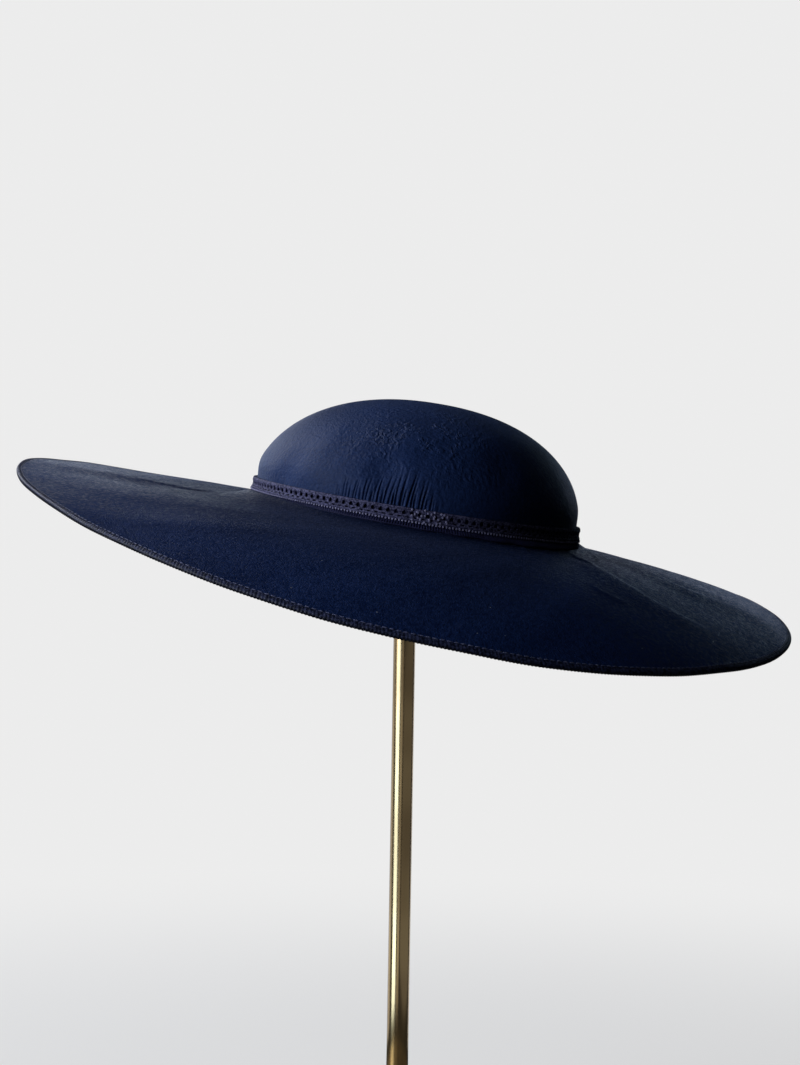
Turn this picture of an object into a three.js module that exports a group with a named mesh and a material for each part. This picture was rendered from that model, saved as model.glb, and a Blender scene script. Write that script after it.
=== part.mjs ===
// A wide-brim felt hat with a low round crown, tilted on a plain brass hat stand.
// Millimetres, +Z up. The origin is the centre of the stand's underside.
// The hat is shaped about its own upright axis, with its front towards -Y and z = 0 at the crown's foot.
// Its azimuths count in degrees from the front, growing towards +X.
import * as THREE from 'three';
import { mergeVertices } from 'three/addons/utils/BufferGeometryUtils.js';

// Thickness of the felt, and the clearance kept between pieces that touch
const FELT = 2;
const SEAT = 0.3;

// How the hat sits on its stand: turned to its left, then tipped to the front and to its low side
const HAT = {
  turn: 11.6,
  tipForward: 3.3,
  tipAside: 8.6,
  fromPole: { x: 4.1, y: -5 },
};
const LOW_SIDE = 90 - HAT.turn;

// Crown: a dome on an oval foot. A fullness of 2 is an ellipse, and more of it squares the shoulder.
const CROWN = {
  halfLength: 94.9,
  halfWidth: 90.8,
  height: 64.7,
  sideFullness: 2.187,
  topFullness: 2.264,
  aside: -1.7,
  leanPerHeight: 0.071,
};

// Degrees up the dome's section, from its foot to its top
const OUTER_STATIONS = [0, 6, 9, 12, 15, 18, 22, 28, 36, 45, 55, 66, 78, 90];
const INNER_STATIONS = [90, 76, 60, 44, 29, 14, 0];

// Fine gathers pinched up from the band. The table gives how high they reach and how deep they are.
const GATHER_COUNT = 18;
const GATHER_STEPS = 4;
const PLAIN_STEPS = 44;
const GATHERS = [
  { azimuth: -40, reach: 10, depth: 0 },
  { azimuth: -35, reach: 12, depth: 0.5 },
  { azimuth: -26, reach: 13, depth: 0.5 },
  { azimuth: -18, reach: 19, depth: 0.8 },
  { azimuth: -11, reach: 18, depth: 0.8 },
  { azimuth: -4, reach: 12, depth: 0.4 },
  { azimuth: 4, reach: 8, depth: 0 },
];
const GATHERS_BEGIN = GATHERS[0].azimuth;
const GATHERS_END = GATHERS.at(-1).azimuth;

// Soft dents of the dome
const DENTS = [
  { azimuth: -24, height: 29, across: 20, depth: 0.8 },
  { azimuth: -82, height: 20, across: 22, depth: 0.7 },
  { azimuth: 115, height: 34, across: 26, depth: 0.8 },
];

// Brim: its width and its droop at the rim change round the head as a mean and a few waves
const BRIM = {
  halfLengthAtHead: 97.1,
  halfWidthAtHead: 92.4,
  width: { mean: 123.9, cos1: -1, sin1: -2.7, cos2: 2.3 },
  droop: { mean: 16.8, cos1: 15.9, sin1: 6.4, cos2: 7.5 },
  droopCurl: 1.2,
  rootDrop: 4,
  rootReach: 9,
};
const BRIM_STEPS = 72;
const BRIM_STATIONS = [0.02, 0.045, 0.12, 0.26, 0.42, 0.58, 0.73, 0.87];

// Hem: the felt is turned under at the rim, round a rolled edge
const HEM = { width: 9, thickness: 3.4, roll: 1.7, step: 0.4, rollSteps: 4 };

// Soft radial flutes of the brim: half widths in degrees, and the share of the width where each begins
const FLUTES = [
  { azimuth: 67, halfWidth: 10, rise: 1.6, begins: 0.1 },
  { azimuth: 51, halfWidth: 9, rise: -1, begins: 0.15 },
  { azimuth: 35, halfWidth: 9, rise: 1.5, begins: 0.15 },
  { azimuth: 8, halfWidth: 14, rise: -0.8, begins: 0.3 },
  { azimuth: -60, halfWidth: 16, rise: -0.8, begins: 0.3 },
  { azimuth: -104, halfWidth: 11, rise: 1.4, begins: 0.05 },
  { azimuth: -138, halfWidth: 11, rise: -1.2, begins: 0.35 },
  { azimuth: 152, halfWidth: 16, rise: 1, begins: 0.25 },
  { azimuth: 112, halfWidth: 14, rise: -0.8, begins: 0.3 },
];
const FLUTE_FULL = 0.6;
const FLUTE_FADES = 0.7;
const FLUTE_AT_RIM = 0.3;

// Ribbon and braid: sections in mm out from the crown's side and up from the brim
const RIBBON_SECTION = [
  { out: SEAT, up: SEAT },
  { out: 1.9, up: SEAT },
  { out: 3.5, up: SEAT },
  { out: 5.2, up: SEAT },
  { out: 5.3, up: 1.1 },
  { out: 2.9, up: 1.9 },
  { out: 1.4, up: 3.4 },
  { out: 1.3, up: 10.4 },
  { out: SEAT, up: 10.4 },
];
const BRAID_SECTION = [
  { out: 1.6, up: 3.7 },
  { out: 2.2, up: 3.5 },
  { out: 2.7, up: 4.7 },
  { out: 2.3, up: 6.8 },
  { out: 2.7, up: 8.9 },
  { out: 2.2, up: 10.2 },
  { out: 1.6, up: 10 },
];
const BAND_STEPS = 60;

// The band draws the foot of the crown in, and the felt swells out again above it
const BAND = { top: 10.4, drawsIn: 2.3, gripEnds: 6, gripFree: 22 };

// Height that the band gains or loses round the head
const BAND_LIFT = { mean: -0.6, cos1: 0.5, sin1: 0.7, cos2: 0 };

// Stand
const POLE = { radius: 6, sides: 20 };
const REST = { top: 400, halfWidth: 32, domeRadius: 90, edge: 3, socketDepth: 12 };
const REST_COLLAR = { radius: 11, length: 16 };
const BASE = { halfWidth: 85, edgeHeight: 8, bevel: 1.5, collarRadius: 13, collarTop: 18, socketFloor: 4 };
const SOCKET_RADIUS = POLE.radius + SEAT;
const REST_STEPS = 24;
const BASE_STEPS = 40;
const DOME_RINGS = 6;

const felt = { roughness: 0.95, metalness: 0 };
const crownFelt = new THREE.MeshStandardMaterial({ color: 0x171b30, ...felt });
const brimFelt = new THREE.MeshStandardMaterial({ color: 0x12162a, ...felt });
const ribbonCloth = new THREE.MeshStandardMaterial({ color: 0x1b1c34, roughness: 0.8, metalness: 0 });
const braidCord = new THREE.MeshStandardMaterial({ color: 0x24243f, roughness: 0.75, metalness: 0 });
const brass = new THREE.MeshStandardMaterial({ color: 0xa88c5a, roughness: 0.32, metalness: 1 });

const radians = THREE.MathUtils.degToRad;
const smoothstep = THREE.MathUtils.smoothstep;

// Smallest signed angle between two azimuths
function apart(azimuth, other) {
  return THREE.MathUtils.euclideanModulo(azimuth - other + 180, 360) - 180;
}

// A bump of height 1 that falls smoothly to 0 at a distance of 1
function bump(distance) {
  const near = Math.min(Math.abs(distance), 1);
  return 0.5 + 0.5 * Math.cos(Math.PI * near);
}

// Value of a wave round the head: a mean and its first harmonics
function round(wave, azimuth) {
  const angle = radians(azimuth);
  const once = wave.cos1 * Math.cos(angle) + wave.sin1 * Math.sin(angle);
  return wave.mean + once + wave.cos2 * Math.cos(2 * angle);
}

// Radius of an oval that is longest from front to back
function oval(azimuth, halfLength, halfWidth) {
  const angle = radians(azimuth);
  return 1 / Math.hypot(Math.cos(angle) / halfLength, Math.sin(angle) / halfWidth);
}

function polar(azimuth, radius, height) {
  const angle = radians(azimuth);
  return new THREE.Vector3(radius * Math.sin(angle), -radius * Math.cos(angle), height);
}

// A column of a table at an azimuth, with straight lines between its rows
function along(table, column, azimuth) {
  const after = table.findIndex((row) => row.azimuth >= azimuth);
  if (after < 1) {
    return after === 0 ? table[0][column] : table.at(-1)[column];
  }
  const [low, high] = [table[after - 1], table[after]];
  const share = (azimuth - low.azimuth) / (high.azimuth - low.azimuth);
  return THREE.MathUtils.lerp(low[column], high[column], share);
}

// Revolves a profile, then moves each vertex to where place(share of the turn, profile point) says
function revolved(profile, steps, place) {
  const geometry = new THREE.LatheGeometry(profile, steps);
  const position = geometry.getAttribute('position');
  for (let i = 0; i < position.count; i++) {
    const turn = (Math.floor(i / profile.length) % steps) / steps;
    const point = place(turn, profile[i % profile.length]);
    position.setXYZ(i, point.x, point.y, point.z);
  }
  geometry.deleteAttribute('normal');
  geometry.deleteAttribute('uv');
  const merged = mergeVertices(geometry);
  merged.computeVertexNormals();
  return merged;
}

// Turned pieces of the stand keep the plain round shape of their profile
function turned(profile, steps) {
  const points = profile.map(([radius, height]) => new THREE.Vector2(radius, height));
  return revolved(points, steps, (turn, point) => polar(360 * turn, point.x, point.y));
}

// Crown

// Dome's section at a station, as a share of the foot's radius and a height
function domeSection(station, wall) {
  const angle = radians(station);
  const share = Math.cos(angle) ** (2 / CROWN.sideFullness);
  const rise = Math.sin(angle) ** (2 / CROWN.topFullness);
  return new THREE.Vector2(station === 90 ? 0 : share, Math.max((CROWN.height - wall) * rise, SEAT));
}

function gatherDepth(azimuth, height) {
  if (azimuth <= GATHERS_BEGIN || azimuth >= GATHERS_END) {
    return 0;
  }
  const pitch = (GATHERS_END - GATHERS_BEGIN) / GATHER_COUNT;
  const ridge = 0.5 - 0.5 * Math.cos((2 * Math.PI * (azimuth - GATHERS_BEGIN)) / pitch);
  const fade = 1 - smoothstep(height, BAND.top, BAND.top + along(GATHERS, 'reach', azimuth));
  return along(GATHERS, 'depth', azimuth) * ridge * fade;
}

function dentDepth(azimuth, height, radius) {
  let depth = 0;
  for (const dent of DENTS) {
    const sideways = radians(apart(azimuth, dent.azimuth)) * radius;
    depth += dent.depth * bump(Math.hypot(sideways, height - dent.height) / dent.across);
  }
  return depth;
}

// Point of the crown's wall, some way out from the dome's smooth side
function crownPoint(azimuth, share, height, out) {
  const radius = share * oval(azimuth, CROWN.halfLength, CROWN.halfWidth);
  const free = smoothstep(height, BAND.gripEnds, BAND.gripFree);
  const point = polar(azimuth, radius + share * (out - BAND.drawsIn * (1 - free)), height);
  return point.add(polar(LOW_SIDE, free * (CROWN.aside + CROWN.leanPerHeight * height), 0));
}

// Share of the foot's radius that the dome has at a height
function domeShare(height) {
  const rise = Math.max(height, 0) / CROWN.height;
  const station = Math.asin(rise ** (CROWN.topFullness / 2));
  return Math.cos(station) ** (2 / CROWN.sideFullness);
}

function crownGeometry() {
  const inner = INNER_STATIONS.map((station) => domeSection(station, FELT));
  const outer = OUTER_STATIONS.map((station) => domeSection(station, 0));
  const profile = [...inner, ...outer];
  const arc = GATHERS_END - GATHERS_BEGIN;
  const steps = GATHER_COUNT * GATHER_STEPS + PLAIN_STEPS;
  const arcShare = (GATHER_COUNT * GATHER_STEPS) / steps;
  return revolved(profile, steps, (turn, point) => {
    const inArc = turn / arcShare;
    const pastArc = (turn - arcShare) / (1 - arcShare);
    const azimuth = GATHERS_BEGIN + (inArc < 1 ? arc * inArc : arc + (360 - arc) * pastArc);
    const hollow = dentDepth(azimuth, point.y, point.x * CROWN.halfWidth);
    const out = inner.includes(point) ? -FELT : -gatherDepth(azimuth, point.y);
    return crownPoint(azimuth, point.x, point.y, out - hollow);
  });
}

// Brim

function fluteRise(azimuth, share) {
  let rise = 0;
  for (const flute of FLUTES) {
    const grown = smoothstep(share, flute.begins, FLUTE_FULL);
    const kept = 1 - (1 - FLUTE_AT_RIM) * smoothstep(share, FLUTE_FADES, 1);
    rise += flute.rise * grown * kept * bump(apart(azimuth, flute.azimuth) / flute.halfWidth);
  }
  return rise;
}

// Height of the brim's upper face, some way out from the head
function brimHeight(azimuth, out) {
  if (out <= 0) {
    return 0;
  }
  const share = out / round(BRIM.width, azimuth);
  const root = BRIM.rootDrop * (1 - Math.exp(-out / BRIM.rootReach));
  const curl = (1 - BRIM.droopCurl) * share + BRIM.droopCurl * share ** 2;
  return fluteRise(azimuth, share) - root - round(BRIM.droop, azimuth) * curl;
}

function headRadius(azimuth) {
  return oval(azimuth, BRIM.halfLengthAtHead, BRIM.halfWidthAtHead);
}

// Profile points hold the share of the brim's width, -1 at the inner edge, and the lift from its upper face
function brimGeometry() {
  const fromRim = (distance) => 1 - distance / BRIM.width.mean;
  const under = BRIM_STATIONS.map((share) => [share, -FELT]);
  const over = BRIM_STATIONS.map((share) => [share, 0]).reverse();
  const roll = [];
  for (let step = 0; step <= HEM.rollSteps; step++) {
    const angle = Math.PI * (step / HEM.rollSteps - 0.5);
    roll.push([fromRim(HEM.roll * (1 - Math.cos(angle))), HEM.thickness * (Math.sin(angle) - 1) * 0.5]);
  }
  const section = [
    [-1, -FELT],
    [0, -FELT],
    ...under,
    [fromRim(HEM.width + HEM.step), -FELT],
    [fromRim(HEM.width), -HEM.thickness],
    ...roll,
    [fromRim(HEM.width), 0],
    ...over,
    [0, 0],
    [-1, 0],
    [-1, -FELT],
  ];
  const profile = section.map(([share, lift]) => new THREE.Vector2(share, lift));
  return revolved(profile, BRIM_STEPS, (turn, point) => {
    const azimuth = 360 * turn;
    const out = Math.max(point.x, 0) * round(BRIM.width, azimuth);
    const place = polar(azimuth, headRadius(azimuth) + out, brimHeight(azimuth, out) + point.y);
    const innerEdge = crownPoint(azimuth, 1, 0, -FELT).setZ(point.y);
    return place.lerp(innerEdge, Math.max(-point.x, 0));
  });
}

// Band

function bandGeometry(section) {
  const profile = [...section, section[0]].map((row) => new THREE.Vector2(row.out, row.up));
  return revolved(profile, BAND_STEPS, (turn, point) => {
    const azimuth = 360 * turn;
    const up = point.y + round(BAND_LIFT, azimuth) * smoothstep(point.y, SEAT, BAND.gripEnds);
    const place = crownPoint(azimuth, domeShare(up), up, point.x);
    const around = THREE.MathUtils.radToDeg(Math.atan2(place.x, -place.y));
    const beyondHead = Math.hypot(place.x, place.y) - headRadius(around);
    return place.setZ(up + brimHeight(around, beyondHead));
  });
}

// Stand

function poleGeometry() {
  const bottom = BASE.socketFloor + SEAT;
  const top = REST.top - REST.socketDepth - SEAT;
  return turned([[0, bottom], [POLE.radius, bottom], [POLE.radius, top], [0, top]], POLE.sides);
}

function restGeometry() {
  const dome = [];
  const widest = Math.asin(REST.halfWidth / REST.domeRadius);
  for (let ring = 0; ring <= DOME_RINGS; ring++) {
    const angle = widest * (1 - ring / DOME_RINGS);
    const radius = ring === DOME_RINGS ? 0 : REST.domeRadius * Math.sin(angle);
    dome.push([radius, REST.top - REST.domeRadius * (1 - Math.cos(angle))]);
  }
  const socketTop = REST.top - REST.socketDepth;
  const underside = dome[0][1] - REST.edge;
  const collarEnd = underside - REST_COLLAR.length;
  return turned(
    [
      [0, socketTop],
      [SOCKET_RADIUS, socketTop],
      [SOCKET_RADIUS, collarEnd],
      [REST_COLLAR.radius, collarEnd],
      [REST_COLLAR.radius, underside],
      [REST.halfWidth, underside],
      ...dome,
    ],
    REST_STEPS,
  );
}

function baseGeometry() {
  return turned(
    [
      [0, 0],
      [BASE.halfWidth - BASE.bevel, 0],
      [BASE.halfWidth, BASE.bevel],
      [BASE.halfWidth, BASE.edgeHeight - BASE.bevel],
      [BASE.halfWidth - BASE.bevel, BASE.edgeHeight],
      [BASE.collarRadius + BASE.bevel, BASE.edgeHeight + BASE.bevel],
      [BASE.collarRadius, BASE.edgeHeight + 2 * BASE.bevel],
      [BASE.collarRadius, BASE.collarTop - BASE.bevel],
      [BASE.collarRadius - BASE.bevel, BASE.collarTop],
      [SOCKET_RADIUS, BASE.collarTop],
      [SOCKET_RADIUS, BASE.socketFloor],
      [0, BASE.socketFloor],
    ],
    BASE_STEPS,
  );
}

// Assembly

function piece(name, geometry, material) {
  const mesh = new THREE.Mesh(geometry, material);
  mesh.name = name;
  return mesh;
}

// Smallest upright distance from the lower piece's points to the upper piece
function gapBetween(lower, upper) {
  const caster = new THREE.Raycaster();
  const up = new THREE.Vector3(0, 0, 1);
  const points = lower.geometry.getAttribute('position');
  let gap = Infinity;
  for (let i = 0; i < points.count; i++) {
    const point = new THREE.Vector3().fromBufferAttribute(points, i).applyMatrix4(lower.matrixWorld);
    caster.set(point, up);
    const [hit] = caster.intersectObject(upper);
    gap = Math.min(gap, hit ? hit.distance : Infinity);
  }
  return gap;
}

const crown = piece('crown', crownGeometry(), crownFelt);
const hat = new THREE.Group();
hat.add(crown);
hat.add(piece('brim', brimGeometry(), brimFelt));
hat.add(piece('hat_band', bandGeometry(RIBBON_SECTION), ribbonCloth));
hat.add(piece('band_braid', bandGeometry(BRAID_SECTION), braidCord));
hat.rotation.set(radians(HAT.tipForward), radians(HAT.tipAside), radians(HAT.turn), 'YXZ');

const rest = piece('stand_rest', restGeometry(), brass);
const stand = new THREE.Group();
stand.add(piece('stand_base', baseGeometry(), brass));
stand.add(piece('stand_pole', poleGeometry(), brass));
stand.add(rest);

// The hat starts above the rest and is let down until the crown's felt lies on the dome
hat.position.set(HAT.fromPole.x, HAT.fromPole.y, REST.top);
hat.updateMatrixWorld(true);
hat.position.z -= gapBetween(rest, crown) - SEAT;

const hatOnStand = new THREE.Group();
hatOnStand.add(stand);
hatOnStand.add(hat);

export default hatOnStand;
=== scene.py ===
"""The looks of a wide-brim felt hat on a plain brass stand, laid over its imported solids.

The hat's own sizes are in millimetres about its upright axis, with z = 0 at the crown's foot.
Its azimuths count in degrees from its front, growing towards +X. Places in the scene are in metres.
"""
import math

import bpy
import numpy as np
from mathutils import Matrix, Vector


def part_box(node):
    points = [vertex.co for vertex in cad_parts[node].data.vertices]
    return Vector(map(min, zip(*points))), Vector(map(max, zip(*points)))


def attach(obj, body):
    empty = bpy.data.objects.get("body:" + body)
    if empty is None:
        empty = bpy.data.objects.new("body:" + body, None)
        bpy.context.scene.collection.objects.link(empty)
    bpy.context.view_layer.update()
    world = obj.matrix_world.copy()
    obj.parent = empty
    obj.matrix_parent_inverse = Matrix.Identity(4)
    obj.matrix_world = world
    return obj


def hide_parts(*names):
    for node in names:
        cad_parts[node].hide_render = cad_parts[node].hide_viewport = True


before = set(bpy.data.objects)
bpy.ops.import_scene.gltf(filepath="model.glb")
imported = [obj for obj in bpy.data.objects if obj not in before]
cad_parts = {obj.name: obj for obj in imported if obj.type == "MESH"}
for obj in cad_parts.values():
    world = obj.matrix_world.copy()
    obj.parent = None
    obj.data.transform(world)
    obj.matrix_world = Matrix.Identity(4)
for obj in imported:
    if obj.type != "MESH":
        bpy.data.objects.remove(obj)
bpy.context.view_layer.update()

MM = 0.001

# The hat as its solids have it
FELT = 2.0
SEAT = 0.3
TURN = 11.6
TIP_FORWARD = 3.3
TIP_ASIDE = 8.6
FROM_POLE = (4.1, -5.0)
LOW_SIDE = 90 - TURN
CROWN_HALF_LENGTH = 94.9
CROWN_HALF_WIDTH = 90.8
CROWN_HEIGHT = 64.7
SIDE_FULLNESS = 2.187
TOP_FULLNESS = 2.264
CROWN_ASIDE = -1.7
CROWN_LEAN = 0.071
HEAD_HALF_LENGTH = 97.1
HEAD_HALF_WIDTH = 92.4

# Waves round the head: a mean, the first cosine and sine, and the second cosine
BRIM_WIDTH = (123.9, -1.0, -2.7, 2.3)
BRIM_DROOP = (16.8, 15.9, 6.4, 7.5)
BAND_LIFT = (-0.6, 0.5, 0.7, 0.0)
DROOP_CURL = 1.2
ROOT_DROP = 4.0
ROOT_REACH = 9.0
ROOT_RISES = ((-75, 55, 2.4), (96, 40, 2.0))

# Band: it draws the foot of the crown in, and the felt swells out again above it
BAND_TOP = 10.4
BAND_DRAWS_IN = 2.3
GRIP_ENDS = 6.0
GRIP_FREE = 22.0

# Hem at the rim
HEM_WIDTH = 9.0
HEM_THICKNESS = 3.4
HEM_STEP = 0.4

# Gathers pinched up from the band: azimuth, how high they reach, how deep they are
GATHERS = (
    (-41, 8, 0),
    (-35, 12, 0.6),
    (-27, 13, 0.7),
    (-19, 20, 0.9),
    (-13, 22, 0.9),
    (-9, 13, 0.6),
    (-3, 8, 0),
)
GATHER_COUNT = 31

# How the gathers differ from one to the next: a mean, a swing about it, and the swing's rate and phase
GATHER_CENTRE = (0.5, 0.18, 2.4, 0)
GATHER_HALF = (0.46, 0.06, 1.7, 1)
GATHER_REACH = (0.85, 0.35, 2.1, 0.5)
GATHER_DEPTH = (0.95, 0.22, 3.1, 0)
GATHER_LEAN = (0.05, 0.03, 1.3, 0)
GATHER_FADES = 0.3

# Soft dents of the dome: azimuth, height, reach and depth, which is negative where the felt bulges
DENTS = (
    (-24, 24, 14, 2.2),
    (-19, 42, 12, -1.0),
    (-52, 36, 14, -0.8),
    (-62, 19, 15, 1.3),
    (-82, 20, 22, 0.6),
    (-44, 45, 12, 0.7),
    (18, 38, 14, 1.0),
    (-2, 46, 10, 0.5),
    (60, 30, 20, 0.8),
    (115, 34, 26, 0.8),
)

# Soft flutes of the brim: azimuth, half width in degrees, rise, and the share of the width where it begins
FLUTES = (
    (67, 10, 0.9, 0.10),
    (51, 9, -0.5, 0.15),
    (35, 9, 0.5, 0.15),
    (8, 14, -0.8, 0.30),
    (-60, 16, -0.8, 0.30),
    (-104, 11, 1.4, 0.05),
    (-138, 11, -1.2, 0.35),
    (152, 16, 1.0, 0.25),
    (112, 14, -0.8, 0.30),
)
FLUTE_FULL = 0.6
FLUTE_FADES = 0.7
FLUTE_AT_RIM = 0.3

# Creases of the brim: half widths to the right and left of the run, seen from above, its rise, and the
# places that it runs through, each as an azimuth and a distance from the head
CREASES = (
    (2.4, 2.4, 0.8, ((48.5, 2), (43, 12), (37.5, 31))),
    (2.4, 2.4, 0.5, ((23.5, 2), (21.5, 16))),
    (3.0, 3.0, 0.5, ((23.5, 60), (25, 68), (28.5, 80))),
    (18, 6, 0.6, ((77, 16), (69.5, 28), (61.5, 45), (58, 57), (58.3, 67), (61, 78), (65, 90), (70, 104))),
    (18, 6, 0.65, ((44, 10), (38, 26), (35, 42), (34.2, 57), (35.2, 74), (38.5, 88), (42, 101), (46, 113))),
    (6.0, 6.0, 0.5, ((-96, 14), (-101, 70))),
)
CREASE_FULL = 0.2
CREASE_FADES = 0.7

# Low unevenness of the felt: turns round the head, turns across, phase and rise
UNEVEN = ((7, 1.3, 0.4, 0.16), (11, 2.1, 2.0, 0.12), (17, 2.9, 4.1, 0.08), (29, 4.3, 1.1, 0.05))
UNEVEN_FROM = 0.05
UNEVEN_FULL = 0.25


# Shapes of the hat, as arrays

def smoothstep(value, low, high):
    share = np.clip((value - low) / (high - low), 0, 1)
    return share * share * (3 - 2 * share)


def bump(distance):
    """1 in the middle, falling smoothly to 0 at a distance of 1."""
    return 0.5 + 0.5 * np.cos(np.pi * np.minimum(np.abs(distance), 1))


def apart(azimuth, other):
    return (azimuth - other + 180) % 360 - 180


def round_head(wave, azimuth):
    angle = np.radians(azimuth)
    mean, cosine, sine, second = wave
    return mean + cosine * np.cos(angle) + sine * np.sin(angle) + second * np.cos(2 * angle)


def oval(azimuth, half_length, half_width):
    angle = np.radians(azimuth)
    return 1 / np.hypot(np.cos(angle) / half_length, np.sin(angle) / half_width)


def polar(azimuth, radius, height):
    angle = np.radians(azimuth)
    return np.stack(np.broadcast_arrays(radius * np.sin(angle), -radius * np.cos(angle), height), axis=-1)


def crown_point(azimuth, share, height, out):
    """Point of the crown's wall, some way out from the dome's smooth side."""
    free = smoothstep(height, GRIP_ENDS, GRIP_FREE)
    radius = share * (oval(azimuth, CROWN_HALF_LENGTH, CROWN_HALF_WIDTH) + out - BAND_DRAWS_IN * (1 - free))
    aside = free * (CROWN_ASIDE + CROWN_LEAN * height)
    return polar(azimuth, radius, height) + polar(LOW_SIDE, aside, 0 * aside)


def dome_share(height):
    """Share of the foot's radius that the dome has at a height."""
    rise = np.clip(height / CROWN_HEIGHT, 0, 1)
    return np.clip(1 - rise**TOP_FULLNESS, 0, 1) ** (1 / SIDE_FULLNESS)


def varied(swing, number):
    mean, amount, rate, phase = swing
    return mean + amount * math.sin(rate * number + phase)


def gather_depth(azimuth, height):
    """Grooves between the gathers, each with its own width, depth, reach and slight lean."""
    at, reaches, depths = np.array(GATHERS, float).T
    pitch = (at[-1] - at[0]) / GATHER_COUNT
    depth = np.zeros_like(height)
    for number in range(GATHER_COUNT):
        centre = at[0] + pitch * (number + varied(GATHER_CENTRE, number))
        half = pitch * varied(GATHER_HALF, number)
        reach = np.interp(centre, at, reaches) * varied(GATHER_REACH, number)
        full = np.interp(centre, at, depths) * varied(GATHER_DEPTH, number)
        lean = varied(GATHER_LEAN, number)
        groove = bump(apart(azimuth, centre + lean * (height - BAND_TOP)) / half)
        fade = smoothstep(height, BAND_TOP + GATHER_FADES * reach, BAND_TOP + reach)
        depth = depth + full * groove * (1 - fade)
    return depth


def dent_depth(azimuth, height, radius):
    depth = np.zeros_like(height)
    for centre, middle, reach, full in DENTS:
        sideways = np.radians(apart(azimuth, centre)) * radius
        depth = depth + full * bump(np.hypot(sideways, height - middle) / reach)
    return depth


def flute_rise(azimuth, share):
    rise = np.zeros_like(share)
    for centre, half, full, begins in FLUTES:
        grown = smoothstep(share, begins, FLUTE_FULL)
        kept = 1 - (1 - FLUTE_AT_RIM) * smoothstep(share, FLUTE_FADES, 1)
        rise = rise + full * grown * kept * bump(apart(azimuth, centre) / half)
    return rise


def head_radius(azimuth):
    return oval(azimuth, HEAD_HALF_LENGTH, HEAD_HALF_WIDTH)


def crease_rise(azimuth, out):
    """Soft ridges that run through places of the brim."""
    here = polar(azimuth, head_radius(azimuth) + out, 0)
    rise = np.zeros_like(out)
    for right_half, left_half, full, places in CREASES:
        line = [polar(place, head_radius(place) + place_out, 0) for place, place_out in places]
        away, along, begun = np.full_like(out, np.inf), np.zeros_like(out), 0
        width = np.full_like(out, right_half)
        for start, end in zip(line, line[1:]):
            run = end - start
            length = np.linalg.norm(run)
            part = np.clip((here - start) @ run / length**2, 0, 1)
            gap = np.linalg.norm(here - start - part[..., None] * run, axis=-1)
            side = run[0] * (here - start)[..., 1] - run[1] * (here - start)[..., 0]
            width = np.where(gap < away, np.where(side > 0, left_half, right_half), width)
            along = np.where(gap < away, begun + part * length, along)
            away = np.minimum(gap, away)
            begun = begun + length
        along = along / begun
        kept = smoothstep(along, 0, CREASE_FULL) * (1 - smoothstep(along, CREASE_FADES, 1))
        rise = rise + full * bump(away / width) * kept
    return rise


def brim_height(azimuth, out):
    """Height of the brim's upper face, some way out from the head."""
    out = np.maximum(out, 0)
    share = out / round_head(BRIM_WIDTH, azimuth)
    root = ROOT_DROP * (1 - np.exp(-out / ROOT_REACH))
    for centre, half, rise in ROOT_RISES:
        root = root - rise * bump(apart(azimuth, centre) / half) * np.exp(-out / ROOT_REACH)
    curl = (1 - DROOP_CURL) * share + DROOP_CURL * share**2
    uneven = np.zeros_like(out)
    for turns, across, phase, rise in UNEVEN:
        uneven = uneven + rise * np.sin(turns * np.radians(azimuth) + 2 * np.pi * across * share + phase)
    uneven = uneven * smoothstep(share, UNEVEN_FROM, UNEVEN_FULL) + crease_rise(azimuth, out)
    return flute_rise(azimuth, share) + uneven - root - round_head(BRIM_DROOP, azimuth) * curl


def brim_point(azimuth, out, lift):
    return polar(azimuth, head_radius(azimuth) + out, brim_height(azimuth, out) + lift)


def rim_point(azimuth, inside, lift):
    """Point some way inside the rim, and above the brim's upper face."""
    return brim_point(azimuth, round_head(BRIM_WIDTH, azimuth) - inside, lift)


def band_point(azimuth, out, up):
    """Point of the band, some way out from the crown's side and up from the brim."""
    height = up + round_head(BAND_LIFT, azimuth) * smoothstep(up, SEAT, GRIP_ENDS)
    place = crown_point(azimuth, dome_share(height), height, out)
    around = np.degrees(np.arctan2(place[..., 0], -place[..., 1]))
    beyond_head = np.hypot(place[..., 0], place[..., 1]) - head_radius(around)
    place[..., 2] = height + np.where(beyond_head > 0, brim_height(around, beyond_head), 0)
    return place


# The hat on its stand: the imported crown's top gives the height

tilt = Matrix.Rotation(math.radians(TIP_ASIDE), 3, "Y")
tilt = tilt @ Matrix.Rotation(math.radians(TIP_FORWARD), 3, "X")
tilt = np.array(tilt @ Matrix.Rotation(math.radians(TURN), 3, "Z"))


DOME_SAMPLES = 80
DOME_AZIMUTH_STEP = 5


def dome_height():
    """Highest point of the tilted dome above the middle of its foot."""
    azimuth, height = np.meshgrid(
        np.arange(0, 360, DOME_AZIMUTH_STEP), np.linspace(0, CROWN_HEIGHT, DOME_SAMPLES)
    )
    places = crown_point(azimuth, dome_share(height), height, 0)
    return (places @ tilt.T)[..., 2].max()


foot_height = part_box("crown")[1].z / MM - dome_height()
hat_place = np.array((*FROM_POLE, foot_height))


def on_stand(places):
    return (places @ tilt.T + hat_place) * MM


# Modelling helpers

SPIN_STEP = 0.01


def mesh_places(piece):
    places = np.empty(3 * len(piece.data.vertices), np.float32)
    piece.data.vertices.foreach_get("co", places)
    return places.reshape(-1, 3).astype(float)


def move_to(piece, places):
    piece.data.vertices.foreach_set("co", np.asarray(places, np.float32).ravel())
    piece.data.update()


def new_piece(name):
    piece = bpy.context.object
    piece.name = name
    piece.data.name = name
    return piece


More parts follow.
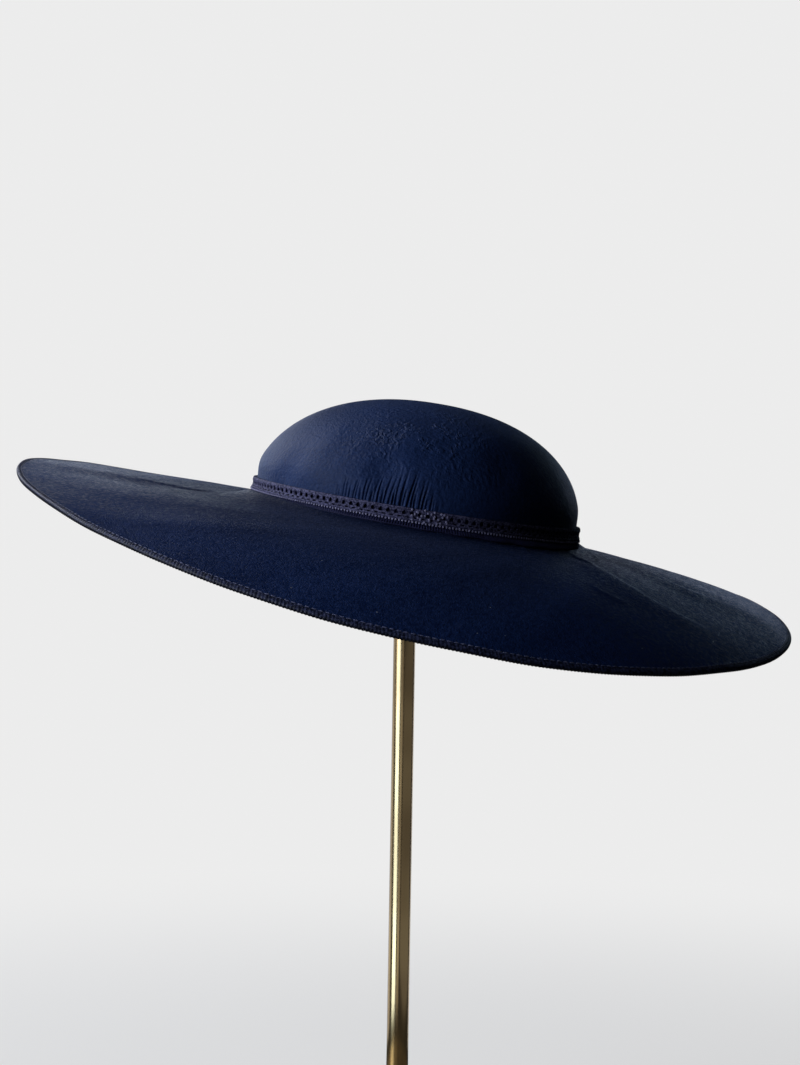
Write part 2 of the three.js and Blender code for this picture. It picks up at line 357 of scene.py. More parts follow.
def with_modifier(piece, kind, **settings):
    """Adds a modifier to the active piece, sets it up and applies it."""
    bpy.ops.object.modifier_add(type=kind)
    modifier = piece.modifiers[-1]
    for name, value in settings.items():
        setattr(modifier, name, value)
    bpy.ops.object.modifier_apply(modifier=modifier.name)


def spun_chain(name, count, steps, closed):
    """Spins a chain of points round the upright axis. Gives each vertex's turn and its point."""
    bpy.ops.object.select_all(action="DESELECT")
    bpy.ops.mesh.primitive_circle_add(vertices=count, radius=SPIN_STEP)
    piece = new_piece(name)
    move_to(piece, [(1 + SPIN_STEP * number, 0, 0) for number in range(count)])
    if not closed:
        for vertex in piece.data.vertices:
            vertex.select = vertex.index in (0, count - 1)
        for edge in piece.data.edges:
            edge.select = set(edge.vertices) == {0, count - 1}
        bpy.ops.object.mode_set(mode="EDIT")
        bpy.ops.mesh.delete(type="EDGE")
        bpy.ops.object.mode_set(mode="OBJECT")
    with_modifier(piece, "SCREW", axis="Z", steps=steps, render_steps=steps, use_merge_vertices=True)
    places = mesh_places(piece)
    turn = np.arctan2(places[:, 1], places[:, 0]) / (2 * np.pi)
    turn = np.round(turn * steps) % steps / steps
    point = np.round((np.hypot(places[:, 0], places[:, 1]) - 1) / SPIN_STEP).astype(int)
    return piece, turn, point


def close_seams(piece, merge=1e-6):
    """Merges the points that meet, and turns the faces outwards."""
    bpy.ops.object.select_all(action="DESELECT")
    piece.select_set(True)
    bpy.context.view_layer.objects.active = piece
    bpy.ops.object.mode_set(mode="EDIT")
    bpy.ops.mesh.select_all(action="SELECT")
    bpy.ops.mesh.remove_doubles(threshold=merge)
    bpy.ops.mesh.normals_make_consistent(inside=False)
    bpy.ops.object.mode_set(mode="OBJECT")
    bpy.ops.object.shade_smooth()


def in_a_row(piece, count, pitch, **settings):
    """Repeats the active piece along X."""
    with_modifier(
        piece,
        "ARRAY",
        count=count,
        use_relative_offset=False,
        use_constant_offset=True,
        constant_offset_displace=(pitch, 0, 0),
        **settings,
    )


def resize(sizes):
    """Scales the active piece's mesh along its axes."""
    bpy.ops.object.mode_set(mode="EDIT")
    bpy.ops.mesh.select_all(action="SELECT")
    bpy.ops.transform.resize(value=sizes)
    bpy.ops.object.mode_set(mode="OBJECT")


def keep_at_points(piece, name, values):
    """Keeps a value at each point, for a finish to read."""
    attribute = piece.data.attributes.new(name, "FLOAT", "POINT")
    attribute.data.foreach_set("value", values.astype(np.float32))


def dress(piece, material, slot, *nodes):
    """Gives a piece its material, and puts it in the place of CAD nodes. The slot is not used."""
    piece.data.materials.clear()
    piece.data.materials.append(material)
    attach(piece, "root")
    if nodes:
        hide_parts(*nodes)


# Materials

class Shade:
    """A socket of a material. Arithmetic on it adds Math nodes."""

    def __init__(self, tree, socket=None):
        self.tree = tree
        self.socket = socket

    def node(self, kind, settings=None, inputs=None, output=0):
        """Adds a node, sets it up, feeds its sockets and gives one of its outputs."""
        node = self.tree.nodes.new("ShaderNode" + kind)
        for name, value in (settings or {}).items():
            setattr(node, name, value)
        for name, value in (inputs or {}).items():
            if isinstance(value, Shade):
                self.tree.links.new(value.socket, node.inputs[name])
            else:
                node.inputs[name].default_value = value
        return Shade(self.tree, node.outputs[output])

    def math(self, operation, *values):
        return self.node("Math", {"operation": operation}, dict(enumerate(values)))

    def __add__(self, other):
        return self.math("ADD", self, other)

    def __radd__(self, other):
        return self.math("ADD", other, self)

    def __rsub__(self, other):
        return self.math("SUBTRACT", other, self)

    def __mul__(self, other):
        return self.math("MULTIPLY", self, other)

    def __rmul__(self, other):
        return self.math("MULTIPLY", other, self)

    def between(self, low, high):
        """0 up to low, 1 from high on, smooth between them."""
        ends = {"Value": self, "From Min": low, "From Max": high}
        return self.node("MapRange", {"interpolation_type": "SMOOTHSTEP"}, ends)

    def colours(self, first, second):
        """Mixes two colours by this value."""
        return self.node("Mix", {"data_type": "RGBA"}, {0: self, 6: first, 7: second}, 2)


class Finish:
    """A material with its main shader, ready for its values and links."""

    def __init__(self, name, **values):
        self.material = bpy.data.materials.new(name)
        self.material.use_nodes = True
        self.tree = self.material.node_tree
        self.shader = self.tree.nodes["Principled BSDF"]
        self.shade = Shade(self.tree)
        self.place = self.shade.node("TexCoord", output="Object")
        for socket, value in values.items():
            self.shader.inputs[socket.replace("_", " ")].default_value = value

    def feed(self, socket, shade):
        self.tree.links.new(shade.socket, self.shader.inputs[socket])

    def noise(self, scale, detail=2.0, roughness=0.5, place=None):
        inputs = {"Vector": place or self.place, "Scale": scale, "Detail": detail, "Roughness": roughness}
        return self.shade.node("TexNoise", None, inputs)

    def stretched(self, scale):
        """Places with each axis scaled by its own factor."""
        inputs = {"Vector": self.place, "Scale": scale}
        return self.shade.node("Mapping", {"vector_type": "TEXTURE"}, inputs)

    def at_points(self, name):
        """A value that the piece keeps at its points."""
        return self.shade.node("Attribute", {"attribute_name": name}, None, "Fac")

    def bumps(self, height, depth):
        """Raises the surface by a height, with its depth in metres where the height is 1."""
        inputs = {"Height": height, "Distance": depth, "Strength": 1}
        self.feed("Normal", self.shade.node("Bump", None, inputs))


def lint(finish, scale, size, share):
    """Tiny pale specks on a few of the cells of a scatter."""
    inputs = {"Vector": finish.place, "Scale": scale}
    near = 1 - finish.shade.node("TexVoronoi", None, inputs, "Distance").between(0.5 * size, size)
    cell = finish.shade.node("TexVoronoi", None, inputs, "Color")
    chance = finish.shade.node("SeparateColor", None, {"Color": cell}, "Red")
    return near * chance.between(1 - share, 1 - 0.9 * share)


def crown_felt_finish():
    finish = Finish(
        "crown_felt_navy",
        Sheen_Weight=0.05,
        Sheen_Roughness=0.3,
        Sheen_Tint=(0.35, 0.52, 1, 1),
        Specular_IOR_Level=0.38,
        Specular_Tint=(0.82, 0.9, 1, 1),
        IOR=1.3,
    )
    mottle = finish.noise(26, 4, 0.6)
    fuzz = finish.noise(950, 3, 0.65)
    crinkled = finish.at_points("crinkle")
    scales = finish.noise(450, 2, 0.5, finish.stretched((1, 1, 2.6)))
    patches = finish.noise(75, 2, 0.5).between(0.36, 0.6)
    creased = crinkled * patches * scales.between(0.4, 0.62)
    tone = 0.4 * mottle + 0.6 * fuzz
    base = tone.between(0.3, 0.7).colours((0.0082, 0.02, 0.073, 1), (0.019, 0.045, 0.15, 1))
    finish.feed("Base Color", lint(finish, 190, 0.07, 0.05).colours(base, (0.12, 0.13, 0.17, 1)))
    finish.feed("Roughness", 0.42 + 0.12 * mottle + 0.08 * fuzz)
    grain = finish.noise(430, 3, 0.6)
    finish.bumps(0.3 * fuzz + 0.8 * creased + 0.8 * grain, 0.0008)
    return finish.material


def brim_felt_finish():
    finish = Finish(
        "brim_felt_navy",
        Sheen_Weight=0.07,
        Sheen_Roughness=0.3,
        Sheen_Tint=(0.3, 0.44, 1, 1),
        Specular_IOR_Level=0.62,
        Specular_Tint=(0.82, 0.9, 1, 1),
        IOR=1.2,
    )
    mottle = finish.noise(21, 4, 0.6)
    lumps = finish.noise(170, 3, 0.6)
    nap = finish.noise(460, 4, 0.65)
    fuzz = finish.noise(1100, 2, 0.6)
    tone = 0.25 * mottle + 0.45 * nap + 0.3 * fuzz
    # Painted shade: the felt is coloured darker near the head, where the crown's shadow falls, and lighter
    # towards the rim
    root_shade_fade = finish.at_points("painted_root_shade_fade")
    deep = root_shade_fade.colours((0.0013, 0.0041, 0.0195, 1), (0.0044, 0.0138, 0.062, 1))
    raised = root_shade_fade.colours((0.0034, 0.01, 0.041, 1), (0.0115, 0.033, 0.13, 1))
    base = tone.between(0.36, 0.64).colours(deep, raised)
    finish.feed("Base Color", lint(finish, 150, 0.07, 0.08).colours(base, (0.45, 0.48, 0.55, 1)))
    finish.feed("Roughness", 0.29 + 0.1 * mottle + 0.3 * nap.between(0.35, 0.65))
    finish.bumps(0.5 * lumps + 0.5 * nap + 0.5 * fuzz, 0.0007)
    return finish.material


def ribbon_finish():
    finish = Finish(
        "ribbon_navy",
        Sheen_Weight=0.02,
        Sheen_Roughness=0.4,
        Sheen_Tint=(0.6, 0.6, 0.95, 1),
        Specular_IOR_Level=0.12,
    )
    threads = finish.noise(1500, 2, 0.6)
    tone = 0.5 * finish.noise(60, 3) + 0.5 * threads
    woven = tone.between(0.3, 0.7).colours((0.011, 0.0125, 0.045, 1), (0.025, 0.028, 0.085, 1))
    finish.feed("Base Color", woven)
    finish.feed("Roughness", 0.5 + 0.2 * threads)
    finish.bumps(threads, 0.0002)
    return finish.material


def braid_finish():
    finish = Finish(
        "braid_navy",
        Sheen_Weight=0.03,
        Sheen_Roughness=0.4,
        Sheen_Tint=(0.65, 0.63, 0.95, 1),
        Specular_IOR_Level=0.16,
    )
    threads = finish.noise(1300, 2, 0.6)
    # The light end of this tone is partly the threads' own lighter colour and partly painted glints on the
    # threads
    tone = 0.7 * finish.noise(820, 2, 0.5, finish.stretched((1, 1, 0.6))) + 0.3 * threads
    plaited_and_glints = tone.between(0.38, 0.64).colours((0.02, 0.021, 0.056, 1), (0.14, 0.14, 0.27, 1))
    finish.feed("Base Color", plaited_and_glints)
    finish.feed("Roughness", 0.5 + 0.2 * threads)
    finish.bumps(threads, 0.0003)
    return finish.material


def loop_finish():
    finish = Finish("braid_loops_navy", Sheen_Weight=0.1, Sheen_Roughness=0.4, Specular_IOR_Level=0.4)
    strands = finish.noise(2000, 2, 0.5)
    finish.feed("Base Color", strands.between(0.3, 0.7).colours((0.2, 0.195, 0.36, 1), (0.42, 0.41, 0.62, 1)))
    finish.feed("Roughness", 0.4 + 0.2 * strands)
    finish.bumps(strands, 0.0001)
    return finish.material


def hem_tape_finish():
    finish = Finish(
        "hem_tape_navy",
        Sheen_Weight=0.03,
        Sheen_Roughness=0.4,
        Sheen_Tint=(0.65, 0.68, 0.9, 1),
        Specular_IOR_Level=0.35,
    )
    threads = finish.noise(1500, 2, 0.6)
    tone = 0.7 * finish.noise(650, 2) + 0.3 * threads
    woven = tone.between(0.4, 0.62).colours((0.005, 0.008, 0.028, 1), (0.05, 0.06, 0.14, 1))
    # Painted shade: the tape's underside at the rim is painted near black, as if in shadow
    underside_shade_fade = finish.at_points("upper")
    finish.feed("Base Color", underside_shade_fade.colours((0.0012, 0.002, 0.009, 1), woven))
    finish.feed("Roughness", 0.36 + 0.16 * threads)
    finish.bumps(threads, 0.0002)
    return finish.material


def thread_finish():
    finish = Finish("sewing_thread_navy", Sheen_Weight=0.3, Sheen_Roughness=0.4, Specular_IOR_Level=0.5)
    strands = finish.noise(2200, 2, 0.5)
    finish.feed("Base Color", strands.between(0.3, 0.7).colours((0.08, 0.09, 0.19, 1), (0.2, 0.22, 0.4, 1)))
    finish.feed("Roughness", 0.45 + 0.2 * strands)
    finish.bumps(strands, 0.0001)
    return finish.material


def brass_finish(name, roughness, metallic):
    finish = Finish(name, Metallic=metallic)
    stains = finish.noise(14, 2, 0.5)
    grain = finish.noise(300, 2, 0.5, finish.stretched((1, 1, 14)))
    tone = stains.between(0.35, 0.7)
    finish.feed("Base Color", tone.colours((0.33, 0.24, 0.12, 1), (0.19, 0.13, 0.065, 1)))
    finish.feed("Roughness", roughness + 0.1 * tone + 0.06 * grain)
    return finish.material


# Pieces of the hat

CROWN_STEPS = 660
FOOT_STATIONS = 29
DOME_STATIONS = 31
FELT_SMOOTH_ANGLE = math.radians(60)
SEWN_IN = 0.1
GATHER_SHARE = 0.45
CRINKLE = {"azimuth": -10, "half_arc": 50, "height": 45, "half_height": 30}


def crown_azimuth(turn):
    """Azimuth at a share of the turn: the steps lie closer together across the gathers."""
    begin, end = GATHERS[0][0], GATHERS[-1][0]
    return np.interp(turn, (0, GATHER_SHARE, 1), (begin, end, begin + 360))


def crown(material):
    foot = np.arange(0, FOOT_STATIONS, 1.0)
    stations = np.radians(np.concatenate((foot, np.linspace(FOOT_STATIONS, 90, DOME_STATIONS))))
    share = np.cos(stations) ** (2 / SIDE_FULLNESS)
    share[-1] = 0
    height = CROWN_HEIGHT * np.sin(stations) ** (2 / TOP_FULLNESS)
    height[0] = -SEWN_IN
    piece, turn, point = spun_chain("crown_shell", len(stations), CROWN_STEPS, closed=False)
    azimuth = crown_azimuth(turn)
    share, height = share[point], height[point]
    hollow = dent_depth(azimuth, height, share * CROWN_HALF_WIDTH) + gather_depth(azimuth, height)
    move_to(piece, on_stand(crown_point(azimuth, share, height, -hollow)))
    crinkle = bump(apart(azimuth, CRINKLE["azimuth"]) / CRINKLE["half_arc"])
    crinkle = crinkle * bump((height - CRINKLE["height"]) / CRINKLE["half_height"])
    keep_at_points(piece, "crinkle", crinkle)
    close_seams(piece)
    with_modifier(piece, "SOLIDIFY", thickness=FELT * MM, offset=-1)
    bpy.ops.object.shade_smooth_by_angle(angle=FELT_SMOOTH_ANGLE)
    dress(piece, material, "crown_felt", "crown")


BRIM_STEPS = 720

# Stations across the brim, as shares of its width: close beside the head, then even on each face
NEAR_HEAD = (0.008, 0.018, 0.03, 0.045, 0.065, 0.09)
OVER_STATIONS = np.linspace(0.12, 0.96, 60)
UNDER_STATIONS = np.linspace(0.12, 0.92, 18)

# Shares of the width over which the painted shade beside the crown fades out towards the rim
ROOT_SHADE_FADE_BEGINS = 0.1
ROOT_SHADE_FADE_ENDS = 0.9

# The upper face bends down to the rim, and the edge under it is thin
EDGE_REACH = 1.0
EDGE_DROP = 0.8
EDGE_UNDER = 1.2
EDGE_DEPTH = 2.6
EDGE_STEPS = 6
EDGE_UNDER_ANGLES = (0, 35, 65)


def rim_roll(proud):
    """Section of the rim from below to above: distances inside the rim, and lifts from the upper face."""
    under = np.radians(EDGE_UNDER_ANGLES)
    over = np.linspace(0, np.pi / 2, EDGE_STEPS + 1)
    depth = EDGE_DEPTH - EDGE_DROP + proud
    low = (EDGE_UNDER - (EDGE_UNDER + proud) * np.sin(under), -EDGE_DROP - depth * np.cos(under))
    high = (EDGE_REACH - (EDGE_REACH + proud) * np.cos(over), (EDGE_DROP + proud) * np.sin(over) - EDGE_DROP)
    return np.concatenate((np.transpose(low), np.transpose(high)))


def brim(material):
    over = np.concatenate((NEAR_HEAD, OVER_STATIONS))
    under = np.concatenate((NEAR_HEAD[1::2], UNDER_STATIONS))
    from_rim = 1 / BRIM_WIDTH[0]
    roll = [(1 - from_rim * inside, lift) for inside, lift in rim_roll(0)]
    section = np.array(
        [
            (-1, -FELT),
            (0, -FELT),
            *((share, -FELT) for share in under),
            (1 - from_rim * (HEM_WIDTH + HEM_STEP), -FELT),
            (1 - from_rim * HEM_WIDTH, -HEM_THICKNESS),
            (1 - from_rim * HEM_WIDTH / 2, -(HEM_THICKNESS + EDGE_DEPTH) / 2),
            *roll,
            (1 - from_rim * (EDGE_REACH + 1), 0),
            *((share, 0) for share in over[::-1]),
            (0, 0),
            (-1, 0),
        ]
    )
    piece, turn, point = spun_chain("brim_sheet", len(section), BRIM_STEPS, closed=True)
    azimuth = 360 * turn
    share, lift = section[point].T
    places = brim_point(azimuth, np.maximum(share, 0) * round_head(BRIM_WIDTH, azimuth), lift)
    inner_edge = crown_point(azimuth, 1, 0 * azimuth, -FELT)
    inner_edge[:, 2] = lift
    inward = np.maximum(-share, 0)[:, None]
    move_to(piece, on_stand(places * (1 - inward) + inner_edge * inward))
    # Painted shade near the head, fading out across the brim's width
    keep_at_points(piece, "painted_root_shade_fade", smoothstep(share, ROOT_SHADE_FADE_BEGINS, ROOT_SHADE_FADE_ENDS))
    close_seams(piece)
    bpy.ops.object.shade_smooth_by_angle(angle=FELT_SMOOTH_ANGLE)
    dress(piece, material, "brim_felt", "brim")


# Hem binding: a thin ribbed tape laid over the upper face from the rim inwards
BINDING_PROUD = 0.15
BINDING_RIBS = 760
BINDING_STEPS_PER_RIB = 4
BINDING_RIB = 0.12
BINDING_SLANT = 0.14
BINDING_SUNK = 0.3

# Its inner edge: distances inside the rim, and lifts from the upper face
BINDING_EDGE = (
    (1.3, BINDING_PROUD),
    (1.6, BINDING_PROUD),
    (1.9, BINDING_PROUD + 0.1),
    (2.1, 0.1),
    (2.1, -0.4),
)
BINDING_EDGE_RIBBED = 2

# Lifts between which the tape's painted shade on its underside fades out to its upper face
UPPER_BEGINS = -1.2
UPPER_FULL = -0.4


def hem_binding(material):
    back = rim_roll(-BINDING_SUNK)[::-1]
    crests = np.concatenate((rim_roll(BINDING_PROUD + BINDING_RIB), BINDING_EDGE, back))
    ribbed = slice(len(back), len(back) + BINDING_EDGE_RIBBED)
    crests[ribbed, 1] += BINDING_RIB
    hollows = np.concatenate((rim_roll(BINDING_PROUD - BINDING_RIB), BINDING_EDGE, back))
    hollows[ribbed, 1] -= BINDING_RIB
    steps = BINDING_RIBS * BINDING_STEPS_PER_RIB
    piece, turn, point = spun_chain("hem_binding", len(crests), steps, closed=True)
    wave = 0.5 + 0.5 * np.cos(2 * np.pi * (turn * BINDING_RIBS + BINDING_SLANT * crests[point, 0]))
    inside, lift = (hollows[point] + wave[:, None] * (crests - hollows)[point]).T
    move_to(piece, on_stand(rim_point(360 * turn, inside, lift)))
    # Painted shade on the underside, fading out up to the upper face
    keep_at_points(piece, "upper", smoothstep(lift, UPPER_BEGINS, UPPER_FULL))
    close_seams(piece)
    dress(piece, material, "ribbon")


STITCH_COUNT = 410
STITCH_INSIDE = 2.3
STITCH_LENGTH = 2.6
STITCH_THICKNESS = 0.42
STITCH_BREADTH = 0.8 * STITCH_THICKNESS
STITCH_LIFT = 0.12


def hem_stitches(material):
    rim_length = 2 * np.pi * (HEAD_HALF_LENGTH + BRIM_WIDTH[0])
    pitch = rim_length / STITCH_COUNT
    bpy.ops.object.select_all(action="DESELECT")
    bpy.ops.mesh.primitive_uv_sphere_add(segments=8, ring_count=6, radius=0.5)
    piece = new_piece("hem_stitches")
    resize((STITCH_LENGTH, STITCH_BREADTH, STITCH_THICKNESS))
    in_a_row(piece, STITCH_COUNT, pitch)
    along, across, up = mesh_places(piece).T
    move_to(piece, on_stand(rim_point(360 * along / rim_length, STITCH_INSIDE + across, STITCH_LIFT + up)))
    close_seams(piece)
    dress(piece, material, "ribbon")


# Ribbon's section: out from the crown's side, up from the brim, and the share of the ribs at each point
RIBBON = (
    (0.3, 0.3, 0),
    (1.9, 0.3, 0),
    (3.5, 0.3, 0),
    (5.2, 0.3, 0.2),
    (5.45, 0.75, 0.7),
    (5.0, 1.2, 1),
    (3.9, 1.6, 1),
    (2.9, 2.0, 1),
    (2.1, 2.6, 1),
    (1.6, 3.4, 1),
    (0.9, 4.8, 0.4),
    (0.7, 9.4, 0.3),
    (1.1, 10.4, 0.3),
    (0.3, 10.4, 0),
)
RIBBON_RIBS = 430
RIBBON_STEPS_PER_RIB = 6
RIBBON_RIB = 0.3

# How far the ribbon's lower edge flares out, as a share, at some azimuths
FLARE = (
    (-180, 0.5),
    (-90, 0.15),
    (-40, 0.15),
    (-15, 0.8),
    (5, 1.0),
    (25, 1.45),
    (40, 1.3),
    (60, 0.6),
    (80, 0.1),
    (120, 0.1),
    (180, 0.5),
)
FLARE_FROM = 1.6
FLARE_WAVER = 0.1
FLARE_WAVES = 31

# Distances out between which the ribs turn from the upright face to the flared one
RIBS_TURN_FROM = 1.5
RIBS_TURN_TO = 4


def ribbon(material):
    section = np.array(RIBBON)
    steps = RIBBON_RIBS * RIBBON_STEPS_PER_RIB
    piece, turn, point = spun_chain("ribbon_ribbed", len(section), steps, closed=True)
    out, up, ribbed = section[point].T
    azimuth = apart(360 * turn, 0)
    swell = RIBBON_RIB * ribbed * np.cos(2 * np.pi * turn * RIBBON_RIBS)
    flared = smoothstep(out, RIBS_TURN_FROM, RIBS_TURN_TO)
    waver = 1 + FLARE_WAVER * np.sin(np.radians(FLARE_WAVES * azimuth))
    flare = np.interp(azimuth, *np.transpose(FLARE)) * waver
    out = np.where(out > FLARE_FROM, FLARE_FROM + flare * (out - FLARE_FROM), out)
    move_to(piece, on_stand(band_point(azimuth, out + swell * (1 - flared), up + swell * flared)))
    close_seams(piece)
    dress(piece, material, "ribbon", "hat_band")


# Braid: one repeat is a small net with a large hole and two half holes, set in a row round the head
BRAID_REPEATS = 144
BRAID_PITCH = 4.0
BRAID_LOW = 3.7
BRAID_HIGH = 10.3
BRAID_OUT = 1.75
BRAID_THICKNESS = 0.5
BRAID_JOINT = -9.0
NET_ALONG = 8
NET_UP = 9

# Raised cords along the braid: height on the band, half width and rise
BRAID_CORDS = ((8.9, 1.7, 0.42), (4.7, 1.3, 0.45))

# Slanting threads: rise, and the lengths of one wave along the braid and up it
BRAID_THREADS = (0.07, 1.0, 2.2)


def braid_azimuth(along):
    return BRAID_JOINT + 360 * along / (BRAID_REPEATS * BRAID_PITCH)


def braid_relief(along, up):
    """Two raised cords along the braid, with the slanting lie of their threads."""
    cords = sum(rise * bump((up - middle) / half) for middle, half, rise in BRAID_CORDS)
    thread_rise, wave_along, wave_up = BRAID_THREADS
    return cords + thread_rise * np.sin(2 * np.pi * (along / wave_along + up / wave_up))


def braid(material):
    tall = BRAID_HIGH - BRAID_LOW
    bpy.ops.object.select_all(action="DESELECT")
    bpy.ops.mesh.primitive_grid_add(x_subdivisions=NET_ALONG, y_subdivisions=NET_UP, size=1)
    piece = new_piece("braid_openwork")
    bpy.ops.object.mode_set(mode="EDIT")
    bpy.ops.mesh.select_all(action="SELECT")
    bpy.ops.transform.resize(value=(BRAID_PITCH, tall, 1))
    bpy.ops.mesh.select_mode(type="FACE")
    bpy.ops.mesh.select_all(action="DESELECT")
    bpy.ops.object.mode_set(mode="OBJECT")
    cell = (BRAID_PITCH / NET_ALONG, tall / NET_UP)
    for face in piece.data.polygons:
        column = abs(face.center.x) / cell[0]
        row = round((face.center.y + tall / 2) / cell[1] - 0.5)
        large = (column < 2 and row in (4, 5)) or (column < 1 and row == 6)
        face.select = large or (column > NET_ALONG / 2 - 2 and row == 2)
    bpy.ops.object.mode_set(mode="EDIT")
    bpy.ops.mesh.delete(type="FACE")
    bpy.ops.mesh.select_mode(type="VERT")
    bpy.ops.object.mode_set(mode="OBJECT")
    in_a_row(piece, BRAID_REPEATS, BRAID_PITCH, use_merge_vertices=True, merge_threshold=0.01)
    with_modifier(piece, "SUBSURF", levels=1, render_levels=1)
    along, up, _ = mesh_places(piece).T
    along = along + BRAID_PITCH / 2
    up = up + (BRAID_LOW + BRAID_HIGH) / 2
    out = BRAID_OUT + braid_relief(along, up)
    move_to(piece, on_stand(band_point(braid_azimuth(along), out, up)))
    close_seams(piece, merge=2e-5)
    with_modifier(piece, "SOLIDIFY", thickness=BRAID_THICKNESS * MM, offset=0)
    dress(piece, material, "braid", "band_braid")


# Loops of the braid's lower edge, and those of its lapped end beside the joint
LOOP_RADIUS = 0.27
LOOP_THREAD = 0.25
LOOP_STRETCH = (1, 1.25, 1.1)
LOOP_OUT = 2.6
LOOP_SWAY_ALONG = 2.3
LOOP_SWAY_UP = 3.7
EDGE_LOOPS = 340
EDGE_LOOPS_UP = 3.4
EDGE_UNEVEN = 0.06
LAP_UNEVEN = 0.7

# Rows of the lapped end: height on the band, and where it begins along the braid
LAP_ROWS = ((4.9, -5.0), (6.5, -6.1), (8.1, -5.2), (9.6, -6.0))
LAP_LOOPS = 7
LAP_PITCH = 2.8


def loop_row(name, count, pitch, material, begin, up, uneven):
    """A row of small thread rings that lie on the band, each a little out of line."""
    bpy.ops.object.select_all(action="DESELECT")
    bpy.ops.mesh.primitive_torus_add(
        major_segments=8, minor_segments=5, major_radius=LOOP_RADIUS, minor_radius=LOOP_THREAD
    )
    piece = new_piece(name)
    resize(LOOP_STRETCH)
    in_a_row(piece, count, pitch)
    along, rise, proud = mesh_places(piece).T
    number = np.round(along / pitch)
    along = along + uneven * np.sin(LOOP_SWAY_ALONG * number + up)
    rise = rise + uneven * np.sin(LOOP_SWAY_UP * number + 2 * up)
    move_to(piece, on_stand(band_point(braid_azimuth(begin + along), LOOP_OUT + proud, up + rise)))
    close_seams(piece)
    dress(piece, material, "braid")


def braid_loops(material):
    girth = BRAID_REPEATS * BRAID_PITCH
    loop_row("braid_edge_loops", EDGE_LOOPS, girth / EDGE_LOOPS, material, 0, EDGE_LOOPS_UP, EDGE_UNEVEN)
    for number, (up, begin) in enumerate(LAP_ROWS):
        loop_row(f"braid_lap_loops_{number + 1}", LAP_LOOPS, LAP_PITCH, material, begin, up, LAP_UNEVEN)


# Stand
POLE_STEPS = 64
REST_STEPS = 72
BASE_STEPS = 128
TURNED_BEVEL = 0.5
TURNED_BEVEL_ANGLE = math.radians(40)
TURNED_SMOOTH_ANGLE = math.radians(35)
REST_COLLAR = 11
REST_PLATE = 3
REST_DOME_RADIUS = 90.0
REST_DOME_POINTS = 10
BASE_EDGE = 1.5
BASE_RIM = 8
BASE_SLOPE = 1.5
BASE_COLLAR = 13
BASE_SOCKET_FLOOR = 4


def turned(name, profile, steps, material, node):
    """A turned brass piece from its profile of radii and heights."""
    profile = np.array(profile, float)
    piece, turn, point = spun_chain(name, len(profile), steps, closed=False)
    radius, height = profile[point].T
    move_to(piece, polar(360 * turn, radius, height) * MM)
    close_seams(piece, merge=1e-5)
    with_modifier(piece, "BEVEL", width=TURNED_BEVEL * MM, segments=2, angle_limit=TURNED_BEVEL_ANGLE)
    bpy.ops.object.shade_smooth_by_angle(angle=TURNED_SMOOTH_ANGLE)
    dress(piece, material, "brass", node)


pole_low, pole_high = (corner.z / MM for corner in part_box("stand_pole"))
pole_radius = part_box("stand_pole")[1].y / MM
socket = pole_radius + SEAT


def pole(material):
    profile = ((0, pole_low), (pole_radius, pole_low), (pole_radius, pole_high), (0, pole_high))
    turned("pole_brass", profile, POLE_STEPS, material, "stand_pole")


def rest(material):
    rest_low, rest_high = (corner.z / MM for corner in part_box("stand_rest"))
    rest_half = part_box("stand_rest")[1].x / MM
    angles = np.linspace(math.asin(rest_half / REST_DOME_RADIUS), 0, REST_DOME_POINTS)
    drops = REST_DOME_RADIUS * (1 - np.cos(angles))
    dome = list(zip(REST_DOME_RADIUS * np.sin(angles), rest_high - drops))
    dome[-1] = (0, rest_high)
    underside = dome[0][1] - REST_PLATE
    profile = [
        (0, pole_high + SEAT),
        (socket, pole_high + SEAT),
        (socket, rest_low),
        (REST_COLLAR, rest_low),
        (REST_COLLAR, underside),
        (rest_half, underside),
        *dome,
    ]
    turned("rest_brass", profile, REST_STEPS, material, "stand_rest")


def base(material):
    base_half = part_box("stand_base")[1].x / MM
    base_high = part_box("stand_base")[1].z / MM
    profile = [
        (0, 0),
        (base_half - BASE_EDGE, 0),
        (base_half, BASE_EDGE),
        (base_half, BASE_RIM - BASE_EDGE),
        (base_half - BASE_EDGE, BASE_RIM),
        (BASE_COLLAR + BASE_EDGE, BASE_RIM + BASE_SLOPE),
        (BASE_COLLAR, BASE_RIM + BASE_SLOPE + BASE_EDGE),
        (BASE_COLLAR, base_high - BASE_EDGE),
        (BASE_COLLAR - BASE_EDGE, base_high),
        (socket, base_high),
        (socket, BASE_SOCKET_FLOOR),
        (0, BASE_SOCKET_FLOOR),
    ]
    turned("base_brass", profile, BASE_STEPS, material, "stand_base")


# Studio

CAMERA_FROM_HAT = (-7.58, -1301.6, -7.48)
FOCAL_PIXELS = 2370
IMAGE_HEIGHT = 1065
CAMERA_ROLL = 0.984
SENSOR = 36
PALE = 0.84
AIR = 0.004
FLOOR_GLOW = 0.7
FLOOR_FADES = (0.2, 1.0)
COOL = (0.95, 0.97, 1)
BLUE = (0.78, 0.86, 1)
HAT_MIDDLE = 20.0

# Stage, in metres
STAGE_STEPS = 96
FLOOR_RADII = (0, 0.4, 0.8, 1.3)
WALL_FOOT = 4
WALL_TOP = 6
COVE_RADIUS = 2
COVE_POINTS = 12

